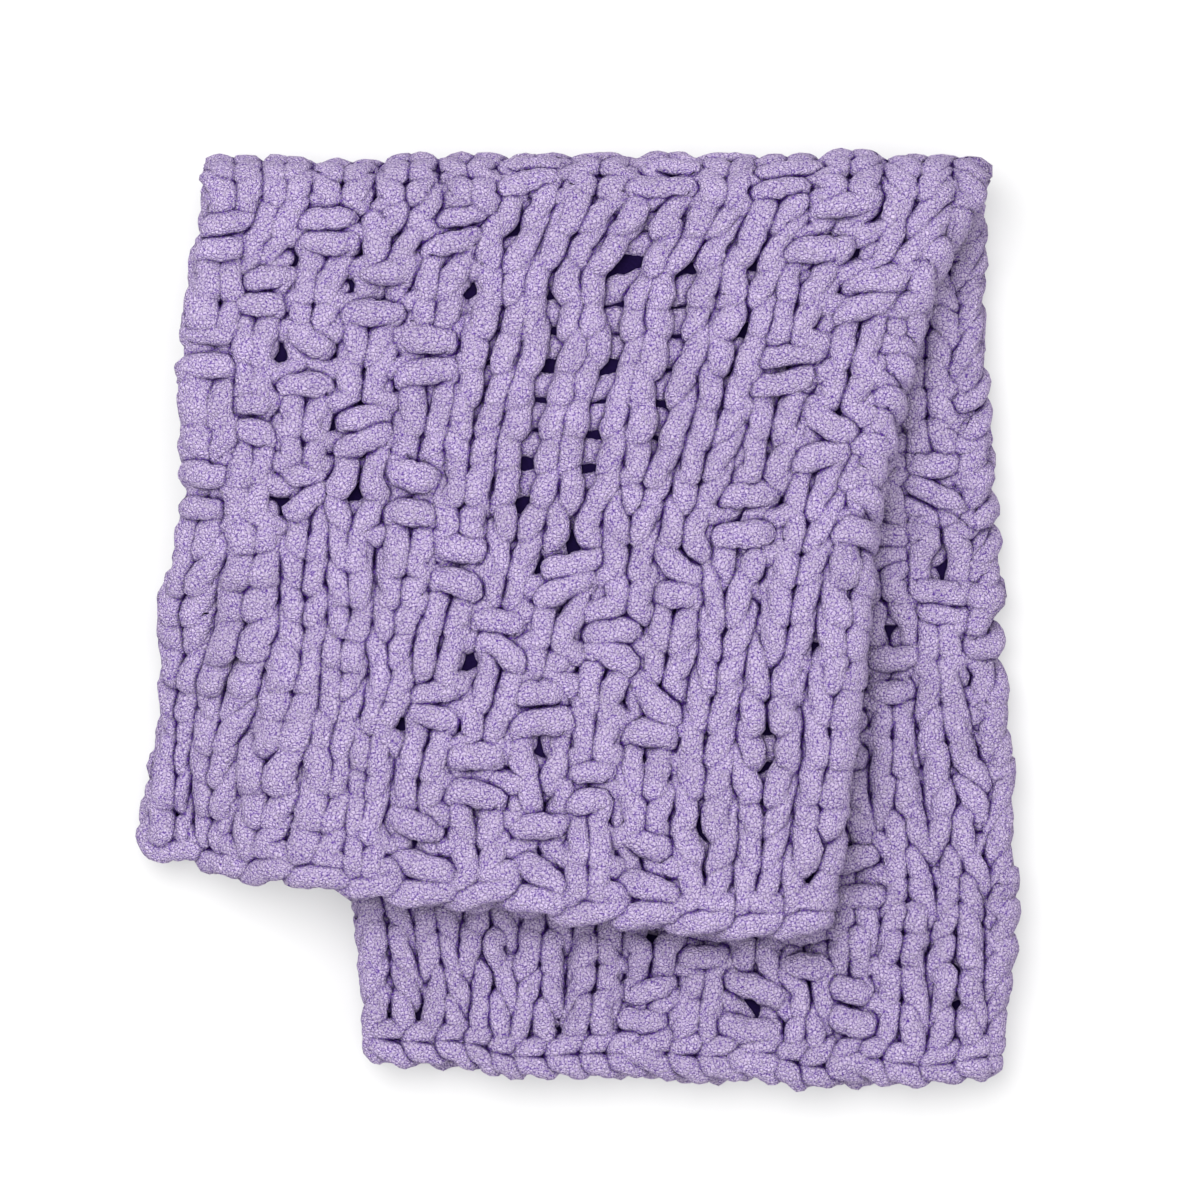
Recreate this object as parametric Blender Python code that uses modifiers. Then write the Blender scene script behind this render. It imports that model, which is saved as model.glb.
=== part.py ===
# Chunky knit throw blanket, lying folded on a flat surface.
#
# The blanket is one knitted rectangle with no lining, fringe or trim.  It is folded twice: in half
# along its length, so that it lies double with its long fold on the right, and then the far end is
# brought over towards the near end, a little askew.  One end of the knitting lies on top, and the
# other sticks out below it.  The flat blanket is made first, with its ribs and checks in low relief,
# and every point of it is then carried into the folds.
#
# Units are metres, +Z is up, and the origin is on the surface under the middle of the blanket.

import math

import bmesh
import bpy

# The flat blanket: its stitches, and the blocks of stitches that make its chequered pattern
STITCH_WIDTH = 0.0425
ROW_HEIGHT = 0.0248
BLOCK_STITCHES = 5
BLOCKS_ACROSS = 5
BLOCK_ROWS = 10
BLOCK_TIERS = 5
EDGE_ROW = 0.012
WIDTH = STITCH_WIDTH * BLOCK_STITCHES * BLOCKS_ACROSS
LENGTH = ROW_HEIGHT * BLOCK_ROWS * BLOCK_TIERS + 2 * EDGE_ROW

# The cloth's thickness, and how its layers lie on each other
THICKNESS = 0.026
LAYER_GAP = 0.002
SIDE_RADIUS = (THICKNESS + LAYER_GAP) / 2
DOUBLE_HALF = SIDE_RADIUS + THICKNESS / 2
TOP_RADIUS = DOUBLE_HALF + LAYER_GAP / 2
TOP_SQUASH = 0.75
LOWER_HEIGHT = DOUBLE_HALF
UPPER_HEIGHT = LOWER_HEIGHT + 2 * TOP_RADIUS

# The straight runs of the two folds
HALF_RUN = (WIDTH - math.pi * SIDE_RADIUS) / 2
REACH = HALF_RUN + DOUBLE_HALF
LOWER_RUN = 0.654
UPPER_RUN = LENGTH - LOWER_RUN - math.pi * TOP_RADIUS

# Outline of each flap, from the top fold to its free end.  The open side is on the left, where the
# two side edges of the blanket lie on each other, and the long fold is on the right.
# columns: share of the flap, open side x, open side y, long fold x, long fold y
LOWER_OUTLINE = (
    (0.00, -0.285, 0.305, 0.304, 0.308),
    (0.20, -0.261, 0.174, 0.308, 0.177),
    (0.45, -0.221, 0.012, 0.319, 0.012),
    (0.70, -0.179, -0.145, 0.325, -0.153),
    (0.85, -0.165, -0.239, 0.330, -0.250),
    (1.00, -0.159, -0.334, 0.317, -0.351),
)
UPPER_OUTLINE = (
    (0.00, -0.285, 0.305, 0.304, 0.308),
    (0.12, -0.295, 0.246, 0.268, 0.243),
    (0.30, -0.299, 0.159, 0.242, 0.144),
    (0.50, -0.303, 0.061, 0.221, 0.033),
    (0.70, -0.313, -0.036, 0.214, -0.077),
    (0.88, -0.326, -0.124, 0.202, -0.177),
    (1.00, -0.331, -0.183, 0.189, -0.243),
)
ROW_BOW = 0.008

# Moves the folded blanket so that its middle is over the origin
CENTRE_X = 0.0005
CENTRE_Y = 0.00175

# Where the upper flap overhangs the lower one, it sinks to the surface
SINK_START = 0.003
SINK_RUN = 0.112
GRADIENT_STEP = 0.0005

# Unevenness of the pile, as a share of its height, and the lengths of its two waves
UNEVEN = 0.045
UNEVEN_WAVE_X = 0.31
UNEVEN_WAVE_Y = 0.37

# Relief of the knitting on the right side of the cloth
RIB_DEPTH = 0.0045
CHECK_DEPTH = 0.0035
EDGE_GROOVE = 0.005
RIM_SHARE = 0.55
RIM_WIDTH = 0.007

# How finely the flat blanket is divided: a row of points for each row of checks
STEPS_PER_STITCH = 2
CHECK_ROWS = 2
SIDE_FOLD_STEPS = 8
TOP_FOLD_STEPS = 9

YARN_COLOUR = (0.47, 0.37, 0.70, 1.0)
YARN_ROUGHNESS = 0.95


def clear_scene():
    for obj in list(bpy.data.objects):
        bpy.data.objects.remove(obj)


def smooth_step(share):
    share = min(1.0, max(0.0, share))
    return share * share * (3 - 2 * share)


def outline_at(outline, share):
    """The open side's and the long fold's x and y at a share of the flap, on a smooth curve."""
    last = len(outline) - 2
    span = next((i for i in range(last) if share < outline[i + 1][0]), last)
    start, end = outline[span], outline[span + 1]
    before = outline[max(0, span - 1)]
    after = outline[min(last + 1, span + 2)]
    width = end[0] - start[0]
    s = (share - start[0]) / width
    point = []
    for i in range(1, 5):
        slope_in = (end[i] - before[i]) / (end[0] - before[0]) * width
        slope_out = (after[i] - start[i]) / (after[0] - start[0]) * width
        point.append(
            (2 * s**3 - 3 * s**2 + 1) * start[i]
            + (s**3 - 2 * s**2 + s) * slope_in
            + (3 * s**2 - 2 * s**3) * end[i]
            + (s**3 - s**2) * slope_out
        )
    return point


def plan_point(outline, across, share):
    """Where a flap's point lies, seen from above: across is 0 at the open side and 1 at the long fold."""
    open_x, open_y, fold_x, fold_y = outline_at(outline, share)
    bow = ROW_BOW * math.sin(math.pi * across) * share
    return open_x + (fold_x - open_x) * across, open_y + (fold_y - open_y) * across - bow


def lower_open_side(y):
    """The x of the lower flap's open side at a height y of the plan."""
    rows = LOWER_OUTLINE
    for start, end in zip(rows, rows[1:]):
        if y >= end[2]:
            break
    share = (start[2] - y) / (start[2] - end[2])
    return start[1] + (end[1] - start[1]) * max(0.0, share)


def upper_height(x, y):
    """Height of the middle of the upper flap: on the lower flap, or sunk beside it on the left."""
    beyond = lower_open_side(y) - SINK_START - x
    return UPPER_HEIGHT - (UPPER_HEIGHT - LOWER_HEIGHT) * smooth_step(beyond / SINK_RUN)


def side_fold(u, w):
    """The flat blanket's width wrapped round the long fold: how far across, and how far off the middle."""
    bend = (u - HALF_RUN) / SIDE_RADIUS
    turn = min(math.pi, max(0.0, bend))
    run = min(u, HALF_RUN, WIDTH - u)
    across = (run + (SIDE_RADIUS + w) * math.sin(turn)) / REACH
    layer = -SIDE_RADIUS * math.cos(turn)
    off = -(SIDE_RADIUS + w) * math.cos(turn)
    return across, layer, off


def folded(u, v, w):
    """Carries a point of the flat blanket, w off its middle towards the right side, into the folds."""
    across, layer, off = side_fold(u, w)
    top_arc = math.pi * (TOP_RADIUS + layer)
    run = v / LENGTH * (LOWER_RUN + top_arc + UPPER_RUN)
    if run < LOWER_RUN:
        x, y = plan_point(LOWER_OUTLINE, across, 1 - run / LOWER_RUN)
        z = LOWER_HEIGHT - off
    elif run < LOWER_RUN + top_arc:
        turn = (run - LOWER_RUN) / (TOP_RADIUS + layer)
        x, y = plan_point(LOWER_OUTLINE, across, 0.0)
        y += TOP_SQUASH * (TOP_RADIUS + off) * math.sin(turn)
        z = LOWER_HEIGHT + TOP_RADIUS - (TOP_RADIUS + off) * math.cos(turn)
    else:
        x, y = plan_point(UPPER_OUTLINE, across, (run - LOWER_RUN - top_arc) / UPPER_RUN)
        z = upper_height(x, y)
        slope_x = (upper_height(x + GRADIENT_STEP, y) - z) / GRADIENT_STEP
        slope_y = (upper_height(x, y + GRADIENT_STEP) - z) / GRADIENT_STEP
        lean = off / math.sqrt(1 + slope_x**2 + slope_y**2)
        x -= slope_x * lean
        y -= slope_y * lean
        z += lean
    wave = math.sin(2 * math.pi * x / UNEVEN_WAVE_X + 0.6) * math.sin(2 * math.pi * y / UNEVEN_WAVE_Y - 0.9)
    return x + CENTRE_X, y + CENTRE_Y, z * (1 + UNEVEN * wave)


def groove(u, v):
    """How deep the right side lies under the tops of the stitches."""
    if u > HALF_RUN and v < LOWER_RUN:
        return 0.0
    to_end = min(v, LENGTH - v)
    if to_end <= EDGE_ROW:
        return 0.0
    if to_end < 2 * EDGE_ROW:
        return EDGE_GROOVE
    rib = 0.5 - 0.5 * math.cos(2 * math.pi * u / STITCH_WIDTH)
    row = (v - EDGE_ROW) / ROW_HEIGHT
    stitch = u / STITCH_WIDTH
    if (int(stitch / BLOCK_STITCHES) + int(row / BLOCK_ROWS)) % 2 == 0:
        return RIB_DEPTH * (1 - rib)
    check = int(stitch) + int(row / CHECK_ROWS)
    return CHECK_DEPTH * (0.5 + (rib / 2 if check % 2 else -rib / 2))


def stations(end, fold_start, fold_end, step, fold_steps, rims):
    """Places along the flat blanket: a few at each rim, one for each step, and more where it folds."""
    before = math.floor((fold_start - 0.5 * step) / step)
    after = math.ceil((fold_end + 0.5 * step) / step)
    fold = [fold_start + (fold_end - fold_start) * i / fold_steps for i in range(fold_steps + 1)]
    near = [step * i for i in range(1, before + 1)]
    far = [step * i for i in range(after, round(end / step))]
    inner = [x for x in near + fold + far if rims[-1] < x < end - rims[-1]]
    return [0.0, *rims, *inner, *(end - x for x in reversed(rims)), end]


def flat_blanket():
    """The blanket before it is folded, as a slab whose points lie on the stations across and along it."""
    side_end = WIDTH - HALF_RUN
    top_arc = math.pi * TOP_RADIUS
    across = stations(
        WIDTH, HALF_RUN, side_end, STITCH_WIDTH / STEPS_PER_STITCH, SIDE_FOLD_STEPS, (RIM_WIDTH,)
    )
    along = stations(
        LENGTH,
        LOWER_RUN,
        LOWER_RUN + top_arc,
        ROW_HEIGHT * CHECK_ROWS,
        TOP_FOLD_STEPS,
        (RIM_WIDTH, EDGE_ROW, 1.5 * EDGE_ROW, 2 * EDGE_ROW),
    )
    cells_across, cells_along = len(across) - 1, len(along) - 1
    mesh = bpy.data.meshes.new("flat_blanket")
    grid = bmesh.new()
    bmesh.ops.create_grid(grid, x_segments=cells_across, y_segments=cells_along, size=1.0)
    for point in grid.verts:
        column = round((point.co.x + 1) / 2 * cells_across)
        row = round((point.co.y + 1) / 2 * cells_along)
        point.co = (across[column], along[row], 0.0)
    grid.to_mesh(mesh)
    grid.free()
    flat = bpy.data.objects.new("flat_blanket", mesh)
    bpy.context.scene.collection.objects.link(flat)
    wall = flat.modifiers.new("thickness", "SOLIDIFY")
    wall.thickness = THICKNESS
    wall.offset = 0.0
    return flat


def rim_share(u, v):
    """How thick the cloth is near its edges, so that they are rounded."""
    inset = min(u, WIDTH - u, v, LENGTH - v) / RIM_WIDTH
    return RIM_SHARE + (1 - RIM_SHARE) * math.sqrt(min(1.0, max(0.0, inset)))


def fold_blanket(flat, material, collection):
    """The folded blanket, from the flat one's points."""
    graph = bpy.context.evaluated_depsgraph_get()
    mesh = bpy.data.meshes.new_from_object(flat.evaluated_get(graph))
    for point in mesh.vertices:
        u, v, w = point.co
        if w > 0:
            w -= groove(u, v)
        point.co = folded(u, v, w * rim_share(u, v))
    mesh.name = "blanket"
    mesh.shade_smooth()
    blanket = bpy.data.objects.new("blanket", mesh)
    collection.objects.link(blanket)
    blanket.data.materials.clear()
    blanket.data.materials.append(material)
    bpy.data.objects.remove(flat)
    return blanket


def yarn_material():
    material = bpy.data.materials.new("lilac_chenille_yarn")
    material.use_nodes = True
    shader = material.node_tree.nodes["Principled BSDF"]
    shader.inputs["Base Color"].default_value = YARN_COLOUR
    shader.inputs["Roughness"].default_value = YARN_ROUGHNESS
    shader.inputs["Metallic"].default_value = 0.0
    return material


def main():
    clear_scene()
    collection = bpy.data.collections.new("knit_blanket")
    bpy.context.scene.collection.children.link(collection)
    fold_blanket(flat_blanket(), yarn_material(), collection)


main()
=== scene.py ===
# Dresses the folded knit blanket: every stitch is modelled in the yarn it is knitted from.
import math

import bpy
import numpy as np
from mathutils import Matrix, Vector


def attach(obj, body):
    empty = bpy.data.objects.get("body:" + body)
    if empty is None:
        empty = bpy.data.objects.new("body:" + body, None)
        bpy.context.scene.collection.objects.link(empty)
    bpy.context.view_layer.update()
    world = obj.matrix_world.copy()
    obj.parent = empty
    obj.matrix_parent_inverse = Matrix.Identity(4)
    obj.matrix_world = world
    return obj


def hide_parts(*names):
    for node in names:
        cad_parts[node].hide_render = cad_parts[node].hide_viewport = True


print("loading the packed blanket")
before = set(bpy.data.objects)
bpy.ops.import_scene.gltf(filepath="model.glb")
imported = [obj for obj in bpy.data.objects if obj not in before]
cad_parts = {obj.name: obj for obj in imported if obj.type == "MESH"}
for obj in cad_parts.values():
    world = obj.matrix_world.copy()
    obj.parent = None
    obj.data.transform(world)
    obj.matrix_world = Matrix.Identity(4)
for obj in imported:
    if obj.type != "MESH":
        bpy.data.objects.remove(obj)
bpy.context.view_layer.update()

# The cloth, in metres: its size, its thickness and how it is folded
cloth = {
    "columns": 25,
    "rows": 50,
    "width": 1.0625,
    "length": 1.264,
    "thickness": 0.026,
    "layerGap": 0.002,
    "lowerRun": 0.654,              # from the lower end to the top fold
    "topSquash": 0.68,              # how far the top fold bulges, as a share of a half circle
    "rowBow": 0.008,                # how far an end bows down in its middle
    "sinkStart": 0.003,             # where the upper flap starts to sink, past the lower one's open side
    "sinkRun": 0.112,
    "slopeStep": 0.0005,            # distance over which the sinking part's slope is measured
    "uneven": 0.045,                # share by which the height rises and falls
    "unevenWave": (0.31, 0.37),
    "unevenPhase": (0.6, -0.9),
    "lieAcross": (23, 0.10, 0.30, 0.0018),      # waves by which the cloth wanders from its outline
    "lieAlong": (29, 0.10, 0.30, 0.0018),
    "centre": (0.0005, 0.00175),
    "press": 0.002,                 # how softly its underside is pressed flat where it lies
}
# Outline of each flap from the top fold down
# columns: share of the flap, open side x, open side y, long fold x, long fold y
lowerOutline = np.array([
    (0.00, -0.285, 0.302, 0.304, 0.308),
    (0.20, -0.261, 0.174, 0.308, 0.177),
    (0.45, -0.221, 0.012, 0.319, 0.012),
    (0.70, -0.181, -0.145, 0.325, -0.153),
    (0.85, -0.170, -0.239, 0.330, -0.250),
    (1.00, -0.164, -0.334, 0.317, -0.351),
])
upperOutline = np.array([
    (0.00, -0.285, 0.302, 0.304, 0.308),
    (0.12, -0.295, 0.246, 0.268, 0.243),
    (0.30, -0.295, 0.159, 0.242, 0.144),
    (0.50, -0.298, 0.061, 0.221, 0.033),
    (0.70, -0.310, -0.036, 0.214, -0.077),
    (0.88, -0.326, -0.124, 0.202, -0.177),
    (1.00, -0.331, -0.183, 0.189, -0.243),
])

sideRadius = (cloth["thickness"] + cloth["layerGap"]) / 2
doubleHalf = sideRadius + cloth["thickness"] / 2
topRadius = doubleHalf + cloth["layerGap"] / 2
lowerHeight = doubleHalf
upperHeightFlat = lowerHeight + 2 * topRadius
halfRun = (cloth["width"] - math.pi * sideRadius) / 2
sideReach = halfRun + doubleHalf
upperRun = cloth["length"] - cloth["lowerRun"] - math.pi * topRadius


# 3 t^2 - 2 t^3 between 0 and 1
def smoothStep(t):
    t = np.clip(t, 0, 1)
    return t * t * (3 - 2 * t)


# A sum of sine waves with seeded directions, lengths and phases
# wave: seed, shortest and longest length in metres, height
def waves(u, v, wave, count=26):
    seed, shortest, longest, height = wave
    rng = np.random.default_rng(seed)
    angle = rng.uniform(0, 2 * math.pi, count)
    length = rng.uniform(shortest, longest, count)
    phase = rng.uniform(0, 2 * math.pi, count)
    field = np.zeros_like(u)
    for a, l, p in zip(angle, length, phase):
        field += np.sin(2 * math.pi * (u * math.cos(a) + v * math.sin(a)) / l + p)
    return field / math.sqrt(count) * height


# Cubic Hermite curve through the rows of an outline, its slopes taken from the neighbouring rows
def outlineAt(rows, share):
    last = len(rows) - 1
    span = np.searchsorted(rows[1:-1, 0], share, side="right")
    start, end = rows[span], rows[span + 1]
    before = rows[np.maximum(span - 1, 0)]
    after = rows[np.minimum(span + 2, last)]
    gap = (end - start)[:, :1]
    s = (share[:, None] - start[:, :1]) / gap
    slopeIn = (end - before) / (end - before)[:, :1] * gap
    slopeOut = (after - start) / (after - start)[:, :1] * gap
    point = (2 * s**3 - 3 * s**2 + 1) * start + (s**3 - 2 * s**2 + s) * slopeIn
    point += (3 * s**2 - 2 * s**3) * end + (s**3 - s**2) * slopeOut
    return point[:, 1:].T


# Straight line from the open side to the long fold, bowed down by half a sine wave
def planPoint(rows, across, share):
    openX, openY, foldX, foldY = outlineAt(rows, share)
    bow = cloth["rowBow"] * np.sin(math.pi * np.clip(across, 0, 1)) * share
    return openX + (foldX - openX) * across, openY + (foldY - openY) * across - bow


# Height of the upper flap's middle: level on the lower flap, and a smooth step down beside it
def upperHeight(x, y):
    openX = np.interp(y, lowerOutline[::-1, 2], lowerOutline[::-1, 1])
    beyond = openX - cloth["sinkStart"] - x
    return upperHeightFlat - (upperHeightFlat - lowerHeight) * smoothStep(beyond / cloth["sinkRun"])


# A straight run, a half turn round the long fold and a straight run back: the share of the way across,
# the layer's middle and the point's own height, both from the middle of the doubled cloth
def sideFold(u, w):
    turn = np.clip((u - halfRun) / sideRadius, 0, math.pi)
    run = np.minimum(np.minimum(u, halfRun), cloth["width"] - u)
    across = (run + (sideRadius + w) * np.sin(turn)) / sideReach
    return across, -sideRadius * np.cos(turn), -(sideRadius + w) * np.cos(turn)


# Carries points of the flat cloth, w off its middle towards the right side, into both folds: the upper
# flap's slope leans its points over, and a soft clamp, (z + sqrt(z^2 + press^2)) / 2, keeps them above
# the surface
def folded(points):
    u, v, w = points.T
    across, layer, off = sideFold(u, w)
    arc = math.pi * (topRadius + layer)
    run = v / cloth["length"] * (cloth["lowerRun"] + arc + upperRun)
    turn = np.clip((run - cloth["lowerRun"]) / (topRadius + layer), 0, math.pi)
    onLower = run < cloth["lowerRun"]
    onUpper = run > cloth["lowerRun"] + arc
    lowX, lowY = planPoint(lowerOutline, across, np.maximum(1 - run / cloth["lowerRun"], 0))
    topX, topY = planPoint(upperOutline, across, np.maximum((run - cloth["lowerRun"] - arc) / upperRun, 0))
    x = np.where(onUpper, topX, lowX)
    y = np.where(onUpper, topY, lowY + cloth["topSquash"] * (topRadius + off) * np.sin(turn) * ~onLower)
    z = lowerHeight + topRadius - (topRadius + off) * np.cos(turn)
    step = cloth["slopeStep"]
    level = upperHeight(topX, topY)
    slopeX = (upperHeight(topX + step, topY) - level) / step
    slopeY = (upperHeight(topX, topY + step) - level) / step
    lean = off / np.sqrt(1 + slopeX**2 + slopeY**2)
    x = x - np.where(onUpper, slopeX * lean, 0)
    y = y - np.where(onUpper, slopeY * lean, 0)
    z = np.where(onUpper, level + lean, z)
    waveX, waveY = cloth["unevenWave"]
    phaseX, phaseY = cloth["unevenPhase"]
    wave = np.sin(2 * math.pi * x / waveX + phaseX) * np.sin(2 * math.pi * y / waveY + phaseY)
    z = z * (1 + cloth["uneven"] * wave)
    z = (z + np.sqrt(z**2 + cloth["press"] ** 2)) / 2
    dx = waves(x, y, cloth["lieAcross"]) + cloth["centre"][0]
    dy = waves(x, y, cloth["lieAlong"]) + cloth["centre"][1]
    return np.stack([x + dx, y + dy, z], axis=1)


chart = {"blockStitches": 5, "blockRows": 10, "checkRows": 2}


# The chart: 1 for a knit stitch, -1 for a purl one. Plain blocks alternate with basket blocks, whose
# checks are one stitch wide and two rows high.
def stitchKind(row, column):
    block = column // chart["blockStitches"]
    tier = np.clip(row, 0, cloth["rows"] - 1) // chart["blockRows"]
    check = column % chart["blockStitches"] + row % chart["blockRows"] // chart["checkRows"]
    basket = (block + tier) % 2 == 1
    return np.where(basket & (check % 2 == 0), -1, 1)


# The yarn and its stitches, in metres where nothing else is said
yarn = {
    "diameter": 0.0199,
    "flatten": 0.86,        # the strand's depth as a share of its width, where strands press together
    "swing": 0.0046,        # how far a strand swings in front of and behind the cloth's middle
    "loopHeight": 1.75,     # height of a loop in rows
    "sideInset": 0.006,
    "endInset": 0.018,
    "headRise": 1.04,       # how much further out the middle of a head lies than its sides
    "topSlant": 1.20,       # how much wider a leg's top is where the next stitch hides the head
    "straightAt": 0.005,    # opening at which a loose column's legs stand straight
    "straightTop": 0.95,    # width of such legs at their tops
    "straightBase": 0.28,   # how much such legs widen where they start
    "edgeAt": 0.17,         # how far inside the edge, in stitches, the yarn turns back behind its edge
    "edgeDepth": -1.3,      # how far back it lies there, in swings, and where it turns into the next row
    "turnDepth": -1.5,
    "fineSteps": 4,         # points from one bend to the next, where the cloth shows
    "coarseSteps": 1,       # the same under another layer
    "foldShows": 0.02,      # how far before the top fold the lower flap's inside shows
    "lowerShows": 0.26,     # how far from its end the lower flap comes out from under the upper one
    "stripShows": 0.20,     # the same from its long fold
    "sides": 12,
    "seed": 11,
    "sway": 0.0025,         # unevenness of a stitch
    "swayHolds": 0.6,       # how far up the loop the sway stops changing
    "tilt": 0.0038,         # how much one end of a head is higher than the other
    "spread": (0.88, 1.10),                         # range of a loop's width
    "driftAcross": (3, 0.06, 0.20, 0.0028),         # waves in the cloth that shift its stitches
    "driftAlong": (5, 0.06, 0.20, 0.0028),
    "driftOff": (7, 0.05, 0.20, 0.0006),
    "swell": (13, 0.016, 0.06, 0.070),              # waves in the strand's width, as shares of it
    "knobs": (17, 0.006, 0.016, 0.075),             # waves over its surface
    "knobSpan": (0.01, 0.02),                       # how far those run across the strand and round it
}
# Half a loop, from where its leg starts, by the leg and its top to the head's end and the head
# columns: off the stitch's middle in stitches, up the loop; how far in front of the cloth's middle in
# swings, as a share of the stitch's own side and a rest, where the head shows; the same where the next
# stitch hides it; share of the head's tilt
halfLoop = (
    (0.180, 0.180, 1.15, 0.00, 1.15, 0.00, 0.0),
    (0.250, 0.500, 0.75, 0.00, 0.95, 0.00, 0.0),
    (0.275, 0.800, 0.25, -0.30, 0.15, 0.00, 0.4),
    (0.355, 0.965, 0.15, 0.50, 0.00, -0.55, 1.0),
    (0.180, 1.000, 0.00, 1.25, 0.00, -1.00, 0.6),
)
# Loosened stitches: how far the legs of a column stand apart
# columns: column counted from the open side of the top layer, first row, last row, opening in metres
looseColumns = (
    (5, 12, 18, 0.0020),
    (6, 10, 19, 0.0046),
    (7, 11, 20, 0.0050),
    (8, 12, 19, 0.0034),
    (9, 14, 18, 0.0022),
    (3, 2, 5, 0.0028),
    (1, 4, 8, 0.0026),
    (11, 3, 6, 0.0028),
)
looseFade = 1.5     # rows over which a loose column opens and closes

stitchWidth = (cloth["width"] - 2 * yarn["sideInset"]) / cloth["columns"]
rowHeight = (cloth["length"] - 2 * yarn["endInset"]) / (cloth["rows"] - 1 + yarn["loopHeight"])


# Column and row of a place, counted from the open corner of the top layer
def gridPlace(u, v):
    column = (cloth["width"] - yarn["sideInset"] - u) / stitchWidth
    row = (cloth["length"] - yarn["endInset"] - v) / rowHeight
    return column, row


# How far a place in the stitch grid is opened, in metres
def openingAt(column, row):
    opened = np.zeros_like(column)
    for number, first, final, opening in looseColumns:
        inColumn = (column > number) & (column < number + 1)
        fade = smoothStep((row - first) / looseFade) * smoothStep((final - row) / looseFade)
        opened += np.where(inColumn, opening * fade, 0)
    return opened


# Moves a stitch's legs off its middle by a sine wave across it, where a column is loose
def loosened(column, row):
    return -openingAt(column, row) * np.sin(2 * math.pi * (column - 0.5))


# The bends of every loop in a row, and one more to end on: foot, half a loop, the head's middle and the
# other half back down. The chart says on which side of the cloth each of them lies.
def rowBends(row):
    columns, rows = cloth["columns"], cloth["rows"]
    column = np.arange(columns)
    here = stitchKind(row, column)
    above = stitchKind(row + 1, column) if row < rows - 1 else here
    left = stitchKind(row, np.maximum(column - 1, 0))
    headInFront = above < 0
    rng = np.random.default_rng(yarn["seed"] + row)
    sway, rise, press = rng.normal(0, yarn["sway"], (3, columns))
    tilt = rng.normal(0, yarn["tilt"], columns)
    spread = rng.uniform(*yarn["spread"], columns)
    straight = openingAt(columns - column - 0.5, np.full(columns, row + 0.5)) / yarn["straightAt"]

    half = []
    for across, up, shownShare, shownRest, hiddenShare, hiddenRest, tilted in halfLoop:
        depth = np.where(headInFront, here * shownShare + shownRest, here * hiddenShare + hiddenRest)
        half.append([across * spread, up, depth, tilted])
    legStart, leg, legTop, headEnd, head = half
    legStart[0] *= 1 + yarn["straightBase"] * straight
    legStart[2] += press / yarn["swing"]
    hiddenSlant = yarn["topSlant"] + (yarn["straightTop"] - yarn["topSlant"]) * straight
    legTop[0] *= np.where(headInFront, 1.0, hiddenSlant)
    outline = [(-0.5, 0.0, -(left + here) * 0.5, 0.0)]
    outline += [(-across, up, depth, -tilted) for across, up, depth, tilted in half]
    outline += [(0.0, 1.0, head[2] * yarn["headRise"], 0.0)]
    outline += half[::-1]

    bends = np.zeros((columns, len(outline), 3))
    for number, (across, up, depth, tilted) in enumerate(outline):
        swayed = sway * math.sin(math.pi * min(up, yarn["swayHolds"]))
        bends[:, number, 0] = (column + 0.5 + across) * stitchWidth + swayed
        bends[:, number, 1] = (row + yarn["loopHeight"] * up) * rowHeight + rise * up + tilt * tilted
        bends[:, number, 2] = depth * yarn["swing"]
    final = [columns * stitchWidth, row * rowHeight, 0.0]
    bends = np.concatenate([bends.reshape(-1, 3), [final]])
    edge = yarn["edgeAt"] * stitchWidth
    bends[[0, -1], 2] = yarn["edgeDepth"] * yarn["swing"]
    bends[:, 0] = np.clip(bends[:, 0], edge, columns * stitchWidth - edge) + yarn["sideInset"]
    bends[:, 1] = cloth["length"] - yarn["endInset"] - bends[:, 1]
    return bends


# Points to each bend's span: more where the cloth shows, at its side edges and round its long fold
def bendSteps(bends):
    u, v = bends[:, 0], bends[:, 1]
    onTop = v > cloth["lowerRun"] - yarn["foldShows"]
    middle = cloth["width"] / 2
    uncovered = (v < yarn["lowerShows"]) | (u > middle - yarn["stripShows"])
    shows = np.where(onTop, u > middle - stitchWidth / 2, (u < middle + stitchWidth) & uncovered)
    shows |= np.minimum(u, cloth["width"] - u) < stitchWidth
    return np.where(shows, yarn["fineSteps"], yarn["coarseSteps"])


# Smooth curve through the bends: a Catmull-Rom spline
def throughBends(bends, steps, closed=False):
    count = len(bends)
    spans = count if closed else count - 1
    steps = steps[:spans]
    span = np.repeat(np.arange(spans), steps)
    s = (np.arange(len(span)) - np.repeat(np.cumsum(steps) - steps, steps)) / steps[span]
    s = s[:, None]
    if closed:
        a, b, c, d = (bends[(span + shift) % count] for shift in (-1, 0, 1, 2))
    else:
        a, b, c, d = (bends[np.clip(span + shift, 0, count - 1)] for shift in (-1, 0, 1, 2))
    curve = 0.5 * (2 * b + (c - a) * s + (2 * a - 5 * b + 4 * c - d) * s**2 + (3 * b - a - 3 * c + d) * s**3)
    return curve if closed else np.concatenate([curve, bends[-1:]])


# The yarn of some rows as one line that runs to and fro and turns back behind its edge stitches; it
# ends a little inside the row after them
def rowsPath(first, final):
    parts = []
    for row in range(first, final):
        bends = rowBends(row)
        parts.append(bends if row % 2 == 0 else bends[::-1])
        if row < cloth["rows"] - 1:
            end = parts[-1][-1]
            parts.append([[end[0], end[1] - rowHeight / 2, yarn["turnDepth"] * yarn["swing"]]])
    if final < cloth["rows"]:
        bends = rowBends(final)
        parts.append(bends[:2] if final % 2 == 0 else bends[:-3:-1])
    bends = np.concatenate(parts)
    return throughBends(bends, bendSteps(bends))


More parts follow.
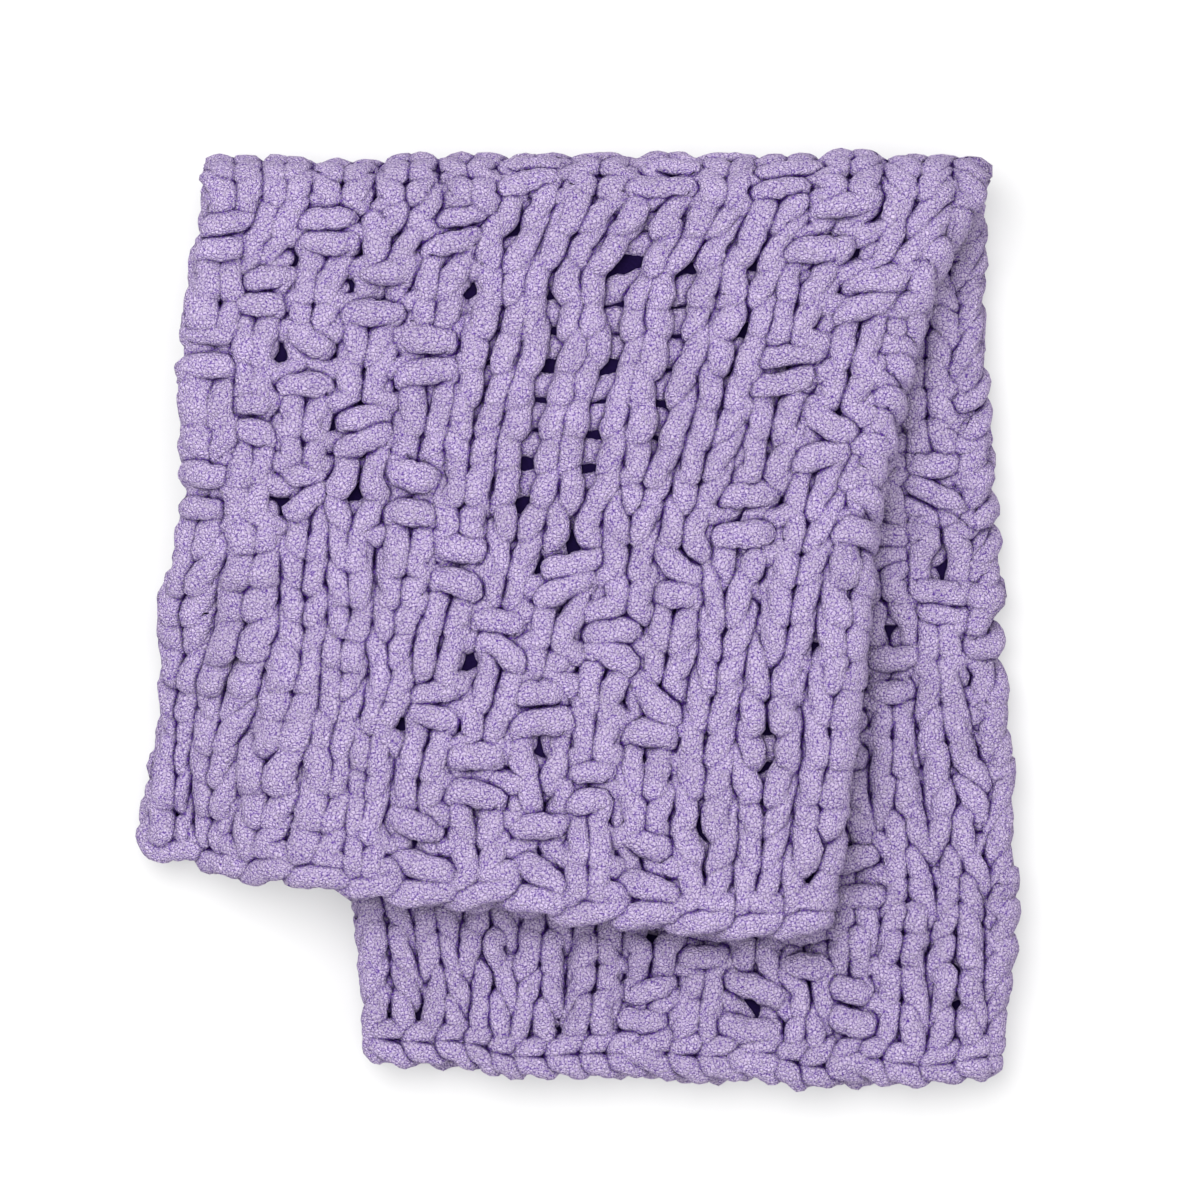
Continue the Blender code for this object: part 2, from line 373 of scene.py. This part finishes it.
# Where the cloth is pulled out of square, in metres, between marks in rows and columns counted from the
# open corner of the top layer
pulls = {
    "leanRows": np.array([-2.0, 5.0, 15.0, 25.0, 29.0]),
    "leanColumns": np.array([-1.0, 0.0, 2.0, 5.0, 8.0, 12.0, 15.0, 26.0]),
    "lean": np.array([              # how far its columns lean towards that corner's side
        (0.000, 0.000, 0.002, 0.018, 0.017, 0.016, 0.008, 0.000),
        (0.001, 0.001, 0.003, 0.029, 0.028, 0.026, 0.013, 0.000),
        (-0.005, -0.005, 0.018, 0.014, 0.010, 0.001, 0.001, 0.000),
        (-0.004, -0.003, 0.005, 0.004, 0.002, -0.002, 0.000, 0.000),
        (0.000, 0.000, 0.000, 0.000, 0.000, 0.000, 0.000, 0.000),
    ]),
    "drawRows": np.array([25.0, 29.0, 33.0, 38.0, 44.0, 52.0]),
    "draw": np.array([0.0, 0.010, 0.023, 0.023, 0.006, 0.0]),       # how far its rows are drawn upwards
}
# Places where the stitches are pushed apart
# columns: column, row, reach in metres, how far the stitches give way in metres
gaps = (
    (0.5, 17.0, 0.009, 0.0030),
    (2.0, 18.3, 0.010, 0.0042),
    (3.0, 17.3, 0.009, 0.0036),
    (3.5, 16.9, 0.009, 0.0030),
    (2.0, 15.4, 0.010, 0.0045),
    (3.0, 15.3, 0.009, 0.0036),
    (3.0, 13.3, 0.009, 0.0032),
    (2.0, 10.7, 0.012, 0.0056),
    (3.5, 11.1, 0.010, 0.0042),
    (4.0, 9.7, 0.010, 0.0036),
    (5.0, 17.4, 0.009, 0.0036),
    (5.4, 19.0, 0.010, 0.0040),
    (7.5, 18.2, 0.011, 0.0040),
    (8.5, 18.1, 0.009, 0.0030),
    (9.5, 18.1, 0.009, 0.0036),
    (9.5, 16.2, 0.009, 0.0036),
    (10.5, 15.4, 0.010, 0.0036),
    (10.8, 16.6, 0.009, 0.0030),
    (5.5, 6.6, 0.010, 0.0036),
    (6.1, 6.5, 0.010, 0.0040),
    (8.0, 6.3, 0.009, 0.0034),
    (8.5, 6.2, 0.009, 0.0030),
    (8.0, 7.3, 0.009, 0.0034),
    (8.9, 5.6, 0.009, 0.0032),
    (7.0, 9.3, 0.010, 0.0036),
    (7.5, 10.1, 0.010, 0.0040),
    (9.5, 10.1, 0.010, 0.0036),
    (5.0, 4.4, 0.011, 0.0044),
    (7.5, 4.2, 0.009, 0.0034),
    (6.9, 2.9, 0.010, 0.0038),
    (7.6, 2.5, 0.009, 0.0036),
    (8.9, 2.6, 0.011, 0.0044),
    (10.5, 2.1, 0.010, 0.0038),
    (14.4, 38.2, 0.012, 0.0045),
    (13.6, 36.0, 0.012, 0.0045),
    (19.6, 47.1, 0.013, 0.0060),
    (17.6, 48.9, 0.012, 0.0052),
    (16.5, 48.2, 0.012, 0.0052),
)


# The mark after a place, and how far the place is towards it from the mark before, by a smooth step
def between(marks, place):
    after = np.clip(np.searchsorted(marks, place), 1, len(marks) - 1)
    share = smoothStep((place - marks[after - 1]) / (marks[after] - marks[after - 1]))
    return after, share


# How far a place is pulled across and along the cloth: a smooth blend of the marks round it
def pulled(column, row):
    lean = pulls["lean"]
    i, s = between(pulls["leanRows"], row)
    j, t = between(pulls["leanColumns"], column)
    across = (lean[i - 1, j - 1] * (1 - s) + lean[i, j - 1] * s) * (1 - t)
    across += (lean[i - 1, j] * (1 - s) + lean[i, j] * s) * t
    i, s = between(pulls["drawRows"], row)
    return across, pulls["draw"][i - 1] * (1 - s) + pulls["draw"][i] * s


# How far the gaps push a place: away from their middles, most at their reach
def pushed(u, v):
    du, dv = np.zeros_like(u), np.zeros_like(v)
    for column, row, reach, give in gaps:
        offU = u - (cloth["width"] - yarn["sideInset"] - column * stitchWidth)
        offV = v - (cloth["length"] - yarn["endInset"] - row * rowHeight)
        near = (offU**2 + offV**2) / reach**2
        push = give / reach * np.exp(0.5 - near / 2)
        du += offU * push
        dv += offV * push
    return du, dv


# Shifts a path's points by the pulls, the gaps, the loose columns and soft waves, so that no two
# stitches are alike
def uneven(path):
    u, v, w = path.T
    column, row = gridPlace(u, v)
    across, along = pulled(column, row)
    pushU, pushV = pushed(u, v)
    du = waves(u, v, yarn["driftAcross"]) + loosened(column, row) + (across + pushU)
    dv = waves(u, v, yarn["driftAlong"]) + (along + pushV)
    dw = waves(u, v, yarn["driftOff"])
    return np.stack([u + du, v + dv, w + dw], axis=1)


# Points where a strand's section, an ellipse, is carried along a path; its width swells and narrows
def strandPoints(path, diameter, closed=False):
    sides = yarn["sides"]
    if closed:
        tangent = np.roll(path, -1, axis=0) - np.roll(path, 1, axis=0)
    else:
        tangent = np.gradient(path, axis=0)
    tangent /= np.linalg.norm(tangent, axis=1, keepdims=True)
    side = np.stack([-tangent[:, 1], tangent[:, 0], np.zeros(len(path))], axis=1)
    side /= np.maximum(np.linalg.norm(side, axis=1, keepdims=True), 1e-9)
    up = np.cross(tangent, side)
    around = np.tile(2 * math.pi * np.arange(sides) / sides, len(path))
    along = np.repeat(np.arange(len(path)), sides)
    middle = path[along]
    swell = np.repeat(waves(path[:, 0], path[:, 1], yarn["swell"]), sides)
    knobAcross, knobRound = yarn["knobSpan"]
    surface = middle + side[along] * (knobAcross * np.cos(around))[:, None]
    knobs = waves(surface[:, 0], surface[:, 1] + knobRound * np.sin(around), yarn["knobs"])
    radius = diameter / 2 * (1 + swell + knobs)
    wide = side[along] * (radius * np.cos(around))[:, None]
    deep = up[along] * (radius * yarn["flatten"] * np.sin(around))[:, None]
    return middle + wide + deep


# Quads between neighbouring rings, with one flat face on each end of an open strand
def strandFaces(rings, closed):
    sides = yarn["sides"]
    ring = np.arange(rings if closed else rings - 1)[:, None]
    edge = np.arange(sides)[None, :]
    after = (ring + 1) % rings
    nextEdge = (edge + 1) % sides
    quads = np.stack([
        ring * sides + edge, ring * sides + nextEdge, after * sides + nextEdge, after * sides + edge,
    ], axis=-1).reshape(-1, 4)
    faces = [tuple(quad) for quad in quads.tolist()]
    if not closed:
        faces.append(tuple(range(sides))[::-1])
        faces.append(tuple(range((rings - 1) * sides, rings * sides)))
    return faces


# A mesh object whose points, laid out on the flat cloth, are folded with it
def clothPiece(name, points, faces, material):
    mesh = bpy.data.meshes.new(name)
    mesh.from_pydata(folded(points), [], faces)
    mesh.shade_smooth()
    mesh.materials.append(material)
    piece = bpy.data.objects.new(name, mesh)
    bpy.context.scene.collection.objects.link(piece)
    return piece


# The chain of links along each end, in metres where nothing else is said
chain = {
    "middleAt": 0.0195,     # from the end of the cloth to the chain's middle
    "sideInset": 0.015,
    "diameter": 0.0195,
    "innerAt": 0.0045,      # how far a link's narrow end is off the chain's middle, and its wide end
    "outerAt": 0.0112,
    "reach": 0.62,          # half a link's length, as a share of the links' pitch
    "depth": 0.0046,
    "steps": 5,
    "lowerPitch": 0.60,     # the lower end's links: their pitch in stitches, and their share of the diameter
    "lowerDiameter": 0.9,
}


# One link of an end's chain: a closed loop laid along the edge, its legs in front and both its ends
# behind, narrow where it comes out of the link before it. Its outline's columns: along the link, off
# the chain's middle, in front of the cloth's middle.
def chainLink(start, pitch, v):
    inner, outer = chain["innerAt"], chain["outerAt"]
    waist = (inner + outer) / 2
    outline = np.array([
        (-1.00, 0.0, -1.0),
        (-0.72, inner, 0.9),
        (0.05, waist, 1.15),
        (0.70, outer, -0.1),
        (1.00, 0.0, -1.0),
        (0.70, -outer, -0.1),
        (0.05, -waist, 1.15),
        (-0.72, -inner, 0.9),
    ])
    bends = outline * (chain["reach"] * pitch, 1, chain["depth"]) + (start, v, 0)
    return throughBends(bends, np.full(len(bends), chain["steps"]), closed=True)


# A chain along an end of the cloth: v is its middle, pitch a link's length
def endChain(name, v, pitch, diameter, material):
    run = cloth["width"] - 2 * chain["sideInset"]
    count = round(run / pitch)
    pitch = run / count
    points, faces, base = [], [], 0
    for number in range(count):
        path = uneven(chainLink(chain["sideInset"] + (number + 0.5) * pitch, pitch, v))
        ring = strandPoints(path, diameter, closed=True)
        points.append(ring)
        faces += (np.array(strandFaces(len(path), True)) + base).tolist()
        base += len(ring)
    return clothPiece(name, np.concatenate(points), faces, material)


# sRGB hex value as the linear colour that a shader takes
def linear(hexValue):
    channels = [int(hexValue[i:i + 2], 16) / 255 for i in (1, 3, 5)]
    return [c / 12.92 if c <= 0.04045 else ((c + 0.055) / 1.055) ** 2.4 for c in channels] + [1.0]


# Adds one node, sets its named inputs and properties, and links the given outputs into it
def addNode(tree, kind, settings=None, inputs=None, links=None):
    node = tree.nodes.new(kind)
    for key, value in (settings or {}).items():
        setattr(node, key, value)
    for key, value in (inputs or {}).items():
        node.inputs[key].default_value = value
    for key, socket in (links or {}).items():
        tree.links.new(socket, node.inputs[key])
    return node


# The yarn's pile, with shade painted into its creases and holes. A pattern's scale is its count in a metre,
# or 1000 over its size in mm
chenille = {
    "lit": "#E5D3F6",
    "shade": "#AA7FDC",
    "creaseShade": "#551C9E",
    "holeShade": "#150A2C",
    "shadeAt": 0.26,        # how closed in the pile is where it takes these painted shade colours, from 0 to 1
    "creaseShadeAt": 0.38,
    "holeShadeAt": 0.58,
    "shadeReachMm": 4.2,   # how near another strand paints shade on the pile
    "fray": 0.5,            # how much the fibres fray the painted shade of the creases
    "openFrom": 0.50,       # frayed openness at which the pile is wholly closed in, painted with the holes' full shade, and wholly open, with no painted shade
    "openTo": 1.02,
    "tuftMm": 2.8,          # size of a tuft, drawn coarser than real pile so that it shows
    "tuftBendsPerMetre": 450.0,     # the bends in a tuft's edge, and how far they reach
    "tuftBendByMm": 2.3,
    "partingWidth": 0.22,   # how far a parting darkens a tuft with the painted crease shade, as a share of its size
    "partingLeast": 0.05,   # how much of it is left where fibres lie across it
    "partingFade": (0.40, 0.56),    # the fibres' noise between which it comes back
    "fibreMm": 1.3,         # a bundle of fibres, drawn coarser too
    "patchesPerMetre": 30.0,
    "patchNoise": (0.3, 0.7),
    "patchRange": (0.92, 1.06),     # how much darker and lighter the patches are
    "reliefMm": 4.2,
    "tuftRelief": 1.6,      # height of the tufts against that of the fibres
    "sheen": 0.08,
    "sheenTint": "#DCC8F4",
}


# Polyester chenille: short velvety pile round a core, so it is dull and its tufts a little parted. Shade is
# painted into its colour where strands meet and little light gets in: deep violet in the creases, nearly
# black in the holes
def chenilleMaterial():
    material = bpy.data.materials.new("lilacChenilleYarn")
    material.use_nodes = True
    tree = material.node_tree
    tree.nodes.clear()
    place = addNode(tree, "ShaderNodeTexCoord").outputs["Object"]
    bend = addNode(
        tree, "ShaderNodeTexNoise", {},
        {"Scale": chenille["tuftBendsPerMetre"], "Detail": 1.0}, {"Vector": place},
    ).outputs["Color"]
    bent = addNode(
        tree, "ShaderNodeVectorMath", {"operation": "MULTIPLY_ADD"},
        {1: [chenille["tuftBendByMm"] * 0.001] * 3}, {0: bend, 2: place},
    ).outputs["Vector"]
    tufts = addNode(
        tree, "ShaderNodeTexVoronoi", {"feature": "DISTANCE_TO_EDGE"},
        {"Scale": 1000 / chenille["tuftMm"], "Randomness": 1.0}, {"Vector": bent},
    ).outputs["Distance"]
    fibres = addNode(
        tree, "ShaderNodeTexNoise", {},
        {"Scale": 1000 / chenille["fibreMm"], "Detail": 3.0, "Roughness": 0.65}, {"Vector": place},
    ).outputs["Fac"]
    patches = addNode(
        tree, "ShaderNodeTexNoise", {},
        {"Scale": chenille["patchesPerMetre"], "Detail": 2.0}, {"Vector": place},
    ).outputs["Fac"]
    parting = addNode(
        tree, "ShaderNodeMapRange", {"interpolation_type": "SMOOTHSTEP"},
        {"From Min": 0.0, "From Max": chenille["partingWidth"], "To Min": 1.0, "To Max": 0.0},
        {"Value": tufts},
    ).outputs["Result"]
    fadeFrom, fadeTo = chenille["partingFade"]
    spread = addNode(
        tree, "ShaderNodeMapRange", {},
        {"From Min": fadeFrom, "From Max": fadeTo, "To Min": chenille["partingLeast"], "To Max": 1.0},
        {"Value": fibres},
    ).outputs["Result"]
    partingShare = addNode(
        tree, "ShaderNodeMath", {"operation": "MULTIPLY"}, {}, {0: parting, 1: spread},
    ).outputs["Value"]
    # Painted shade: ambient occlusion over a few millimetres darkens the pile's colour where other strands
    # are near
    openness = addNode(
        tree, "ShaderNodeAmbientOcclusion", {"samples": 2},
        {"Distance": chenille["shadeReachMm"] * 0.001},
    ).outputs["AO"]
    ragged = addNode(
        tree, "ShaderNodeMath", {"operation": "MULTIPLY_ADD"},
        {1: chenille["fray"]}, {0: fibres, 2: openness},
    ).outputs["Value"]
    paintedShadeShare = addNode(
        tree, "ShaderNodeMapRange", {"interpolation_type": "SMOOTHSTEP"},
        {"From Min": chenille["openFrom"], "From Max": chenille["openTo"], "To Min": 1.0, "To Max": 0.0},
        {"Value": ragged},
    ).outputs["Result"]
    # Ramp from the yarn's own lit colour through painted shade and painted crease shade to the nearly black
    # painted shade of the holes
    ramp = addNode(tree, "ShaderNodeValToRGB", {}, {}, {"Fac": paintedShadeShare})
    stops = ramp.color_ramp.elements
    stops[0].color = linear(chenille["lit"])
    stops[1].position = chenille["holeShadeAt"]
    stops[1].color = linear(chenille["holeShade"])
    stops.new(chenille["shadeAt"]).color = linear(chenille["shade"])
    stops.new(chenille["creaseShadeAt"]).color = linear(chenille["creaseShade"])
    # The partings between tufts are darkened with the painted crease shade colour
    parted = addNode(
        tree, "ShaderNodeMix", {"data_type": "RGBA"}, {},
        {"Factor": partingShare, "A": ramp.outputs["Color"]},
    )
    parted.inputs["B"].default_value = linear(chenille["creaseShade"])
    patchFrom, patchTo = chenille["patchNoise"]
    darkest, lightest = chenille["patchRange"]
    patchShare = addNode(
        tree, "ShaderNodeMapRange", {},
        {"From Min": patchFrom, "From Max": patchTo, "To Min": darkest, "To Max": lightest},
        {"Value": patches},
    ).outputs["Result"]
    tinted = addNode(
        tree, "ShaderNodeHueSaturation", {}, {}, {"Color": parted.outputs["Result"], "Value": patchShare},
    ).outputs["Color"]
    relief = addNode(
        tree, "ShaderNodeMath", {"operation": "MULTIPLY_ADD"},
        {1: chenille["tuftRelief"]}, {0: tufts, 2: fibres},
    ).outputs["Value"]
    bump = addNode(
        tree, "ShaderNodeBump", {},
        {"Strength": 1.0, "Distance": chenille["reliefMm"] * 0.001}, {"Height": relief},
    ).outputs["Normal"]
    shader = addNode(
        tree, "ShaderNodeBsdfPrincipled", {},
        {"Roughness": 1.0, "Sheen Weight": chenille["sheen"], "Sheen Roughness": 0.5,
         "Sheen Tint": linear(chenille["sheenTint"]), "Specular IOR Level": 0.05},
        {"Base Color": tinted, "Normal": bump},
    )
    addNode(tree, "ShaderNodeOutputMaterial", {}, {}, {"Surface": shader.outputs["BSDF"]})
    return material


# The pile that meets in the middle of the stitches: a sheet painted with deep shade, seen only in the gaps,
# in metres where nothing else is said
ground = {
    # the painted shade's darker and lighter grain colours
    "dark": "#0E0720",
    "light": "#1D1238",
    "grainMm": 2.5,
    "inset": 0.014,
    "thickness": 0.003,
    "offMiddle": -0.0045,
    "across": 60,
    "along": 100,
}


# Painted shade: the chenille of the gaps drawn dull and nearly black, as the shade where little light
# reaches, with a faint grain
def groundMaterial():
    material = bpy.data.materials.new("paintedShadePile")
    material.use_nodes = True
    tree = material.node_tree
    shader = tree.nodes["Principled BSDF"]
    place = addNode(tree, "ShaderNodeTexCoord").outputs["Object"]
    grain = addNode(
        tree, "ShaderNodeTexNoise", {},
        {"Scale": 1000 / ground["grainMm"], "Detail": 2.0}, {"Vector": place},
    )
    ramp = addNode(tree, "ShaderNodeValToRGB", {}, {}, {"Fac": grain.outputs["Fac"]})
    ramp.color_ramp.elements[0].color = linear(ground["dark"])
    ramp.color_ramp.elements[1].color = linear(ground["light"])
    tree.links.new(ramp.outputs["Color"], shader.inputs["Base Color"])
    shader.inputs["Roughness"].default_value = 1.0
    shader.inputs["Specular IOR Level"].default_value = 0.0
    return material


# A thin closed sheet in the middle of the cloth: two grids joined by a rim
def groundSheet(material):
    across, along = ground["across"], ground["along"]
    u = np.linspace(ground["inset"], cloth["width"] - ground["inset"], across + 1)
    v = np.linspace(ground["inset"], cloth["length"] - ground["inset"], along + 1)
    gridU, gridV = np.meshgrid(u, v)
    face = np.stack([gridU.ravel(), gridV.ravel()], axis=1)
    half = ground["thickness"] / 2
    low = np.column_stack([face, np.full(len(face), ground["offMiddle"] - half)])
    high = np.column_stack([face, np.full(len(face), ground["offMiddle"] + half)])
    index = np.arange(len(face)).reshape(along + 1, across + 1)
    quads = np.stack([
        index[:-1, :-1], index[:-1, 1:], index[1:, 1:], index[1:, :-1],
    ], axis=-1).reshape(-1, 4)
    rim = np.concatenate([index[0, :-1], index[:-1, -1], index[-1, :0:-1], index[:0:-1, 0]])
    after = np.roll(rim, -1)
    count = len(face)
    walls = np.stack([rim, after, after + count, rim + count], axis=-1)
    faces = np.concatenate([quads[:, ::-1], quads + count, walls]).tolist()
    return clothPiece("blanketGround", np.concatenate([low, high]), faces, material)


print("knitting the rows")
lilac = chenilleMaterial()
tiers = []
for tier in range(cloth["rows"] // chart["blockRows"]):
    first = tier * chart["blockRows"]
    path = uneven(rowsPath(first, first + chart["blockRows"]))
    name = "knitTier" + "ABCDE"[tier]
    points = strandPoints(path, yarn["diameter"])
    tiers.append(clothPiece(name, points, strandFaces(len(path), False), lilac))
    print(name, len(path), "points along the yarn")

print("chaining the two ends")
upperEnd = endChain(
    "upperEndChain", cloth["length"] - chain["middleAt"], stitchWidth, chain["diameter"], lilac,
)
lowerEnd = endChain(
    "lowerEndChain", chain["middleAt"], stitchWidth * chain["lowerPitch"],
    chain["diameter"] * chain["lowerDiameter"], lilac,
)

print("filling the gaps")
groundPiece = groundSheet(groundMaterial())

for piece in tiers + [upperEnd, lowerEnd, groundPiece]:
    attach(piece, "root")
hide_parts("blanket")

# The studio: a pale floor, a soft key and fill, and a camera straight above
studio = {
    "floor": "#AAAAAA",
    "floorGlow": 0.40,          # a lit table, so that the shadow stays close and pale
    "floorSize": 24.0,
    "cameraHeight": 5.0,
    "frameWidth": 0.888,        # at the height of the upper layers
    "frameHeight": 0.095,
    "photoCentre": (0.0168, 0.0121),
    "key": (-0.60, 0.75, 3.0),
    "keyPower": 118,
    "fill": (1.4, -1.0, 2.4),
    "fillPower": 20,
    "lampSize": 2.4,
    "sky": 0.70,
}


# A square of matt card that glows a little
def studioFloor():
    half = studio["floorSize"] / 2
    mesh = bpy.data.meshes.new("studioFloor")
    corners = [(-half, -half, 0), (half, -half, 0), (half, half, 0), (-half, half, 0)]
    mesh.from_pydata(corners, [], [(0, 1, 2, 3)])
    material = bpy.data.materials.new("paleFloor")
    material.use_nodes = True
    shader = material.node_tree.nodes["Principled BSDF"]
    shader.inputs["Base Color"].default_value = linear(studio["floor"])
    shader.inputs["Roughness"].default_value = 1.0
    shader.inputs["Specular IOR Level"].default_value = 0.0
    shader.inputs["Emission Color"].default_value = (1, 1, 1, 1)
    shader.inputs["Emission Strength"].default_value = studio["floorGlow"]
    material.cycles.emission_sampling = "NONE"
    mesh.materials.append(material)
    floor = bpy.data.objects.new("studioFloor", mesh)
    bpy.context.scene.collection.objects.link(floor)


# A round lamp that looks at the middle of the floor
def areaLight(name, place, power):
    data = bpy.data.lights.new(name, "AREA")
    data.shape = "DISK"
    data.size = studio["lampSize"]
    data.energy = power
    lamp = bpy.data.objects.new(name, data)
    lamp.location = place
    lamp.rotation_euler = Vector(place).to_track_quat("Z", "Y").to_euler()
    bpy.context.scene.collection.objects.link(lamp)


# A camera that looks straight down, its lens worked out from the width that it frames
def studioCamera():
    data = bpy.data.cameras.new("overheadCamera")
    data.sensor_width = 36.0
    data.lens = data.sensor_width * (studio["cameraHeight"] - studio["frameHeight"]) / studio["frameWidth"]
    camera = bpy.data.objects.new("overheadCamera", data)
    camera.location = (*studio["photoCentre"], studio["cameraHeight"])
    bpy.context.scene.collection.objects.link(camera)
    bpy.context.scene.camera = camera


print("setting up the studio")
studioFloor()
areaLight("softKey", studio["key"], studio["keyPower"])
areaLight("softFill", studio["fill"], studio["fillPower"])
world = bpy.data.worlds.new("paleStudio")
world.use_nodes = True
sky = world.node_tree.nodes["Background"]
sky.inputs["Color"].default_value = (1, 1, 1, 1)
sky.inputs["Strength"].default_value = studio["sky"]
bpy.context.scene.world = world
bpy.context.scene.view_settings.view_transform = "Standard"
studioCamera()
